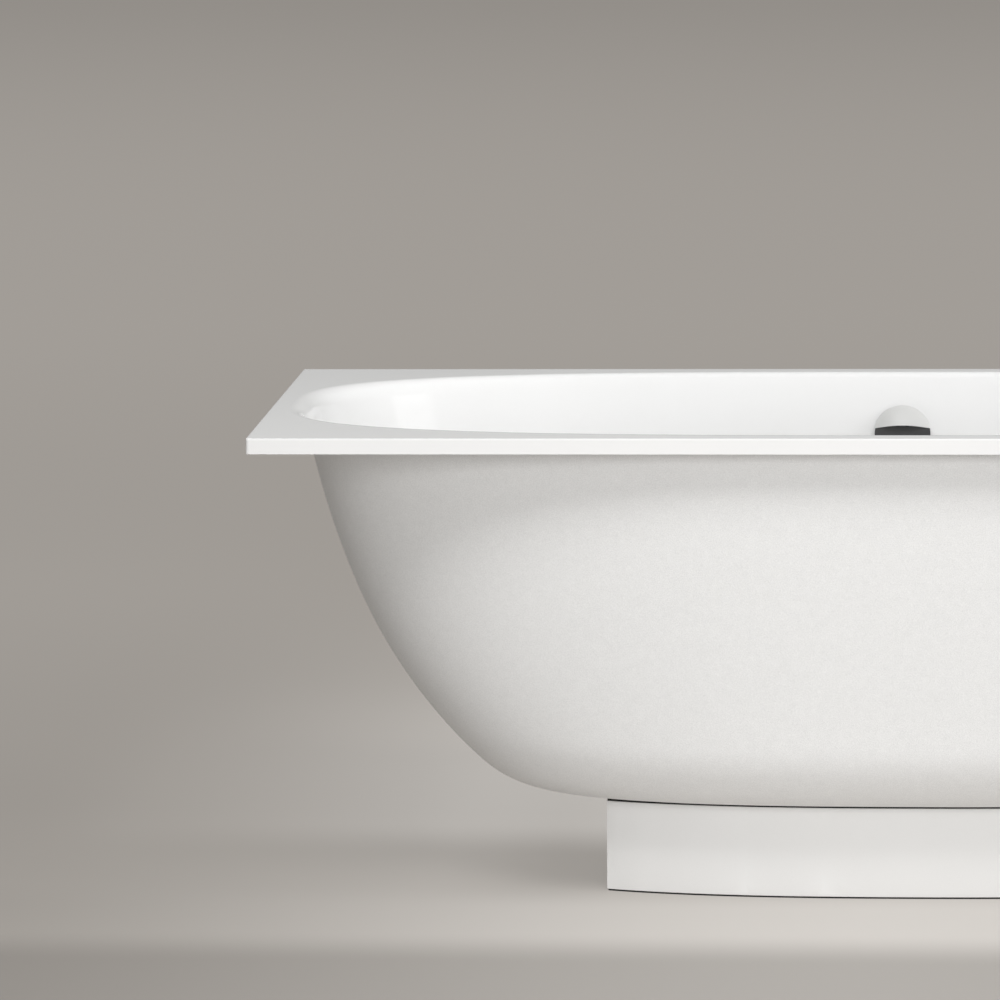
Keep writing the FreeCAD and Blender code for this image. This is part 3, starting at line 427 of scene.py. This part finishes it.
def bath_shell(enamel, coat):
    """The whole shell: skirt, flat rim, roll, walls and floor inside, and the same outside."""
    mesh = bmesh.new()

    def ring(points):
        return [mesh.verts.new(p) for p in points]

    top = RIM_HEIGHT
    foot = top - SKIRT_DROP
    skirt_steps = [(0.0, foot), (0.0, foot + 0.001), (0.0, top - EDGE_RADIUS - 0.002)]
    for angle in (0, 18, 36, 54, 72, 90):
        inset, drop = EDGE_RADIUS * (1 - cosine(angle)), EDGE_RADIUS * (1 - sine(angle))
        skirt_steps.append((inset, top - drop))
    skirt_steps.append((EDGE_RADIUS + 0.003, top))
    outside = [ring(rim_ring(inset, z)) for inset, z in skirt_steps]
    for first, second in zip(outside, outside[1:]):
        bridge(mesh, first, second, 0)
    inner = [ring(basin_ring(0.0, 0.0, grow=ROLL_LEDGE))]
    inner += [ring(basin_ring(d, 0.0)) for d in depth_steps(0.0)]
    inner += [ring(basin_ring(BASIN_DEPTH, 0.0, scale=s)) for s in FLOOR_SHARES]
    for first, second in zip(inner, inner[1:]):
        bridge(mesh, first, second, 0)
    plate(mesh, outside[-1], inner[0], 0)
    face = mesh.faces.new(inner[-1])
    face.material_index = 0
    under_steps = [(WALL, foot), (WALL, top - WALL - 0.001)]
    under_steps += [(WALL + 0.001, top - WALL), (WALL + 0.004, top - WALL)]
    under = [ring(rim_ring(inset, z)) for inset, z in under_steps]
    bridge(mesh, under[0], outside[0], 1)
    for first, second in zip(under[1:], under):
        bridge(mesh, first, second, 1)
    outer = [ring(basin_ring(WALL, WALL, grow=ROLL_LEDGE))]
    outer += [ring(basin_ring(d, WALL)) for d in depth_steps(WALL)]
    outer += [ring(basin_ring(BASIN_DEPTH + WALL, WALL, scale=s)) for s in FLOOR_SHARES]
    for first, second in zip(outer, outer[1:]):
        bridge(mesh, second, first, 1)
    plate(mesh, under[-1], outer[0], 1)
    face = mesh.faces.new(reversed(outer[-1]))
    face.material_index = 1
    bmesh.ops.recalc_face_normals(mesh, faces=mesh.faces)
    shell = piece_from(mesh, "enamelled_shell", enamel, coat)
    drain = Matrix.Translation((0, WASTE_Y, FLOOR_TOP - WALL / 2))
    for hole, where in ((WASTE_HOLE, drain), (OVERFLOW_HOLE, overflow_seating())):
        carve(shell, hole, where)
    shell.data.set_sharp_from_angle(angle=SMOOTH_LIMIT)
    return shell


def overflow_seating():
    """Where the overflow sits: its axis runs from behind the rear wall into the basin."""
    lean = Matrix.Rotation(math.radians(90 - OVERFLOW_LEAN), 4, "X")
    return Matrix.Translation((0, OVERFLOW_Y, RIM_HEIGHT - OVERFLOW_DROP)) @ lean


def piece_from(mesh, name, *finishes):
    data = bpy.data.meshes.new(name)
    mesh.to_mesh(data)
    mesh.free()
    piece = bpy.data.objects.new(name, data)
    bpy.context.scene.collection.objects.link(piece)
    for finish in finishes:
        data.materials.append(finish.material)
    return piece


def carve(piece, diameter, where):
    """Bore a round hole through a piece."""
    mesh = bmesh.new()
    ends = [where @ Vector((0, 0, reach)) for reach in (-BORE_REACH, BORE_REACH)]
    bar(mesh, *ends, diameter / 2, 64)
    tool = piece_from(mesh, "hole")
    boring = piece.modifiers.new("hole", "BOOLEAN")
    boring.operation = "DIFFERENCE"
    boring.solver = "EXACT"
    boring.object = tool
    worked_out = bpy.context.evaluated_depsgraph_get()
    bored = bpy.data.meshes.new_from_object(piece.evaluated_get(worked_out))
    piece.modifiers.clear()
    piece.data = bored
    bpy.data.objects.remove(tool)


def bar(mesh, start, end, radius, sides=12):
    """A round bar from one point to another."""
    along = end - start
    turn = along.to_track_quat("Z", "Y").to_matrix().to_4x4()
    where = Matrix.Translation((start + end) / 2) @ turn
    bmesh.ops.create_cone(mesh, cap_ends=True, segments=sides, radius1=radius, radius2=radius,
                          depth=along.length, matrix=where)


def middle_and_half(node):
    """The middle of a solid's box and half its three sizes."""
    low, high = (Vector(corner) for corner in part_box(node))
    return (low + high) / 2, (high - low) / 2


def grip_ribs(nut, axis, count):
    """Round ribs for the fingers all round a pipe nut."""
    middle, half = middle_and_half(nut)
    first, second = (k for k in range(3) if k != axis)
    mesh = bmesh.new()
    for k in range(count):
        start = middle.copy()
        start[first] += (half[first] - RIB_SINK) * cosine(360 * k / count)
        start[second] += (half[first] - RIB_SINK) * sine(360 * k / count)
        end = start.copy()
        start[axis] -= half[axis] - RIB_MARGIN
        end[axis] += half[axis] - RIB_MARGIN
        bar(mesh, start, end, RIB_RADIUS, 8)
    return mesh


def elbow_ribs():
    """A raised ring and six stiffening ribs on the back of the overflow elbow."""
    seating = overflow_seating()
    back = -ELBOW_BACK
    mesh = bmesh.new()
    for k in range(ELBOW_RIBS):
        turn = 360 / ELBOW_RIBS * k
        way = Vector((cosine(turn), sine(turn), 0))
        start, end = (way * reach + Vector((0, 0, back)) for reach in ELBOW_RIB_ENDS)
        bar(mesh, seating @ start, seating @ end, ELBOW_RIB, 8)
    step = 360 / RING_STEPS
    for k in range(RING_STEPS):
        turns = (step * k, step * k + step)
        ends = [Vector((cosine(turn), sine(turn), 0)) * ELBOW_RING for turn in turns]
        start, end = (seating @ (point + Vector((0, 0, back))) for point in ends)
        bar(mesh, start, end, ELBOW_RIB, 8)
    start, end = (seating @ Vector((0, 0, z)) for z in (back - 0.0016, back + 0.001))
    bar(mesh, start, end, ELBOW_BOSS, 32)
    return mesh


def threaded_stud(stud):
    """A levelling stud with its screw thread."""
    middle, half = middle_and_half(stud)
    bottom, crest = middle.z - half.z, half.x
    root = crest - THREAD_DEPTH
    steps = round((2 * half.z / THREAD_PITCH - 1.5) * THREAD_STEPS)
    mesh = bmesh.new()
    rows = []
    for radius, lift in ((crest, 0.25), (root, 0.75)):
        row = []
        for k in range(steps + 1):
            turn = k / THREAD_STEPS
            height = bottom + THREAD_PITCH * (turn + lift)
            x = middle.x + radius * cosine(360 * turn)
            y = middle.y + radius * sine(360 * turn)
            row.append(mesh.verts.new((x, y, height)))
        rows.append(row)
    ridge, groove = rows
    for k in range(steps):
        mesh.faces.new((ridge[k], ridge[k + 1], groove[k + 1], groove[k]))
        above = k + THREAD_STEPS
        if above < steps:
            mesh.faces.new((groove[k], groove[k + 1], ridge[above + 1], ridge[above]))
    reach = Vector((0, 0, half.z))
    bar(mesh, middle - reach, middle + reach, root * 0.95, 24)
    return mesh


def fit(mesh, name, body, slot, *nodes):
    """A finished piece that rides on a body and may stand in for solids."""
    piece = piece_from(mesh, name, finishes[slot])
    piece.data.set_sharp_from_angle(angle=SMOOTH_LIMIT)
    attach(piece, body)
    if nodes:
        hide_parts(*nodes)


def soften(node, width):
    """Narrow rounded edges on a sharp-edged solid."""
    solid = frame["nodes"][node]
    weld = solid.modifiers.new("joined faces", "WELD")
    weld.merge_threshold = 0.00001
    edge = solid.modifiers.new("rounded edges", "BEVEL")
    edge.width = width
    edge.segments = 2
    edge.limit_method = "ANGLE"
    edge.angle_limit = math.radians(40)
    edge.harden_normals = True


def floor_finish():
    """A pale beige floor of painted light: a pool of light before and behind the plinth, painted
    shade inside it.
    """
    tint, pool_tint = (1.07, 1.0, 0.925), (1.02, 1.0, 0.97)
    colour = tuple(0.20 * share for share in tint)
    finish = Finish("studio floor", colour, 0.9, Specular_IOR_Level=0.0, Emission_Strength=1.0)
    spot = finish.place()
    width = finish.part_of(spot, "X").size()
    across = width.held(1.15, 0.0)
    along = finish.part_of(spot, "Y")
    near = along.held(-0.55, -0.38)
    before, behind = along.held(-0.08, -0.25), along.held(0.08, 0.3) * along.held(1.6, 0.6)
    # Painted shadow beside the plinth's ends, with painted light a little farther out.
    painted_shadow_beside = (1.0 - before) * (0.08 * width.held(0.4, 0.58) - 0.022)
    # Painted light: bright bands before and behind the plinth, which make the painted pool of
    # light.
    bands = 0.13 + 0.145 * before + 0.19 * behind + painted_shadow_beside
    pool = across * (0.13 - 0.13 * near + bands * near) * along.held(2.5, 1.0)
    rear = 0.06 * along.held(0.3, 2.5) + 0.03 * along.held(2.5, 6.5)
    # Painted light: the floor's own glow, which grades with distance and also lights the bath.
    painted_floor_light = 0.083 + (0.085 - 0.014 * before) * near + rear - 0.065 * along.held(8.0, 22.0)
    # Painted shade under the plinth: inside its bowed outline the floor's painted light is nearly
    # all taken away.
    bow = (width / PLINTH_BOW) ** PLINTH_EXPONENT
    bow = bow + (along.size() / PLINTH_HALF_DEPTH) ** PLINTH_EXPONENT
    between_ends = width.held(PLINTH_HALF_LENGTH - 0.003, PLINTH_HALF_LENGTH - 0.011)
    clear = 1.0 - 0.92 * bow.held(0.97, 0.88) * between_ends
    shares = [clear * (painted_floor_light * plain + pool * lit) for plain, lit in zip(tint, pool_tint)]
    light = finish.add("ShaderNodeCombineColor", None, dict(enumerate(shares)))
    finish.set("Emission Color", light)
    return finish


def surround():
    """A plain grey world, lighter high up behind the bath."""
    world = bpy.data.worlds.new("surround")
    bpy.context.scene.world = world
    shading = Shading(world, "Background")
    way = shading.add("ShaderNodeTexCoord", output="Generated")
    rear = shading.add("ShaderNodeVectorMath", {"operation": "DOT_PRODUCT"},
                       {0: way, 1: (0.0, 0.8, 0.6)}, "Value")
    shading.set("Color", shading.tinted(0.25 + 0.26 * rear.held(0.1, 1.0), (1.0, 0.995, 0.98)))


def studio():
    """A wide pale floor, soft lamps and the surround."""
    mesh = bmesh.new()
    bmesh.ops.create_grid(mesh, x_segments=1, y_segments=1, size=60)
    piece_from(mesh, "studio_floor", floor_finish())
    surround()
    # place, aim, width, height, watts, mirrored in gloss
    softbox("front softbox", (1.2, -6.0, 1.55), (0, 0, 0.35), 3.2, 2.4, 184, False)
    softbox("front panel", (-1.8, -9.0, 2.0), (-1.8, 0.0, 2.0), 5.4, 4.0, 14, True)
    softbox("side softbox", (3.79, -2.25, 1.685), (-0.6, 0.22, 1.685), 1.87, 0.29, 3.0, True)
    softbox("end softbox", (3.4, -0.6, 1.9), (-0.5, 0, 0.45), 1.6, 1.6, 54, False)
    softbox("top softbox", (-0.6, -2.0, 2.9), (0, 0, 0.5), 1.6, 1.0, 51, False)


def softbox(name, where, aim, width, height, power, mirrored):
    data = bpy.data.lights.new(name, "AREA")
    data.shape = "RECTANGLE"
    data.size, data.size_y = width, height
    data.energy = power
    lamp = bpy.data.objects.new(name, data)
    bpy.context.scene.collection.objects.link(lamp)
    lamp.location = where
    lamp.rotation_euler = (Vector(aim) - Vector(where)).to_track_quat("-Z", "Y").to_euler()
    lamp.visible_glossy = mirrored
    lamp.visible_camera = False


def camera():
    data = bpy.data.cameras.new("camera")
    data.sensor_width = 36
    data.lens = 222.918
    data.clip_end = 200
    eye = bpy.data.objects.new("camera", data)
    bpy.context.scene.collection.objects.link(eye)
    right = Vector((0.99790206, 0.06428004, -0.00771722))
    forward = Vector((-0.06473371, 0.98880128, -0.13446778))
    turned = Matrix((right, right.cross(forward), -forward)).transposed()
    eye.matrix_world = Matrix.Translation((-0.00099, -7.34169, 1.44734)) @ turned.to_4x4()
    bpy.context.scene.camera = eye


def dress_nodes():
    """Each solid takes the finish of its own slot."""
    for node, slot in slots.items():
        solid = frame["nodes"][node]
        solid.data.materials.clear()
        solid.data.materials.append(finishes[slot].material)


finishes = {
    "white_enamel": white_enamel(),
    "white_panel": panel_white(),
    "black_rubber": black_rubber(),
    "softwood": softwood(),
    "galvanised_steel": galvanised_steel(),
    "satin_chrome": satin_chrome(),
    "dark_plastic": moulded("dark plastic", (0.05, 0.05, 0.05), 0.5),
    "grey_plastic": moulded("grey plastic", (0.26, 0.27, 0.28), 0.5),
    "white_plastic": moulded("white plastic", (0.74, 0.74, 0.72), 0.42),
    "brass": turned_brass(),
    "bitumen": bitumen(),
}
slots = {entry["node"]: entry["material_slot"] for entry in frame["record"]["subparts"]}
dress_nodes()
shell = bath_shell(finishes["white_enamel"], ground_coat())
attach(shell, "bath")
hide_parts("bath_shell")

for nut, axis, count in (("overflow_pipe_upper_nut", 2, 20), ("overflow_pipe_lower_nut", 1, 20),
                         ("trap_union_nut", 0, 28), ("trap_outlet_nut", 1, 28)):
    fit(grip_ribs(nut, axis, count), nut + "_ribs", "bath", slots[nut])
fit(elbow_ribs(), "overflow_elbow_ribs", "bath", slots["overflow_body"])
for corner in ("front_left", "front_right", "rear_left", "rear_right"):
    stud = "foot_stud_" + corner
    fit(threaded_stud(stud), "threaded_" + stud, "foot_" + corner, slots[stud], stud)
for side in ("front", "left", "rear", "right"):
    soften(f"plinth_{side}_panel", PANEL_EDGE)

studio()
camera()
bpy.context.scene.view_settings.view_transform = "Standard"
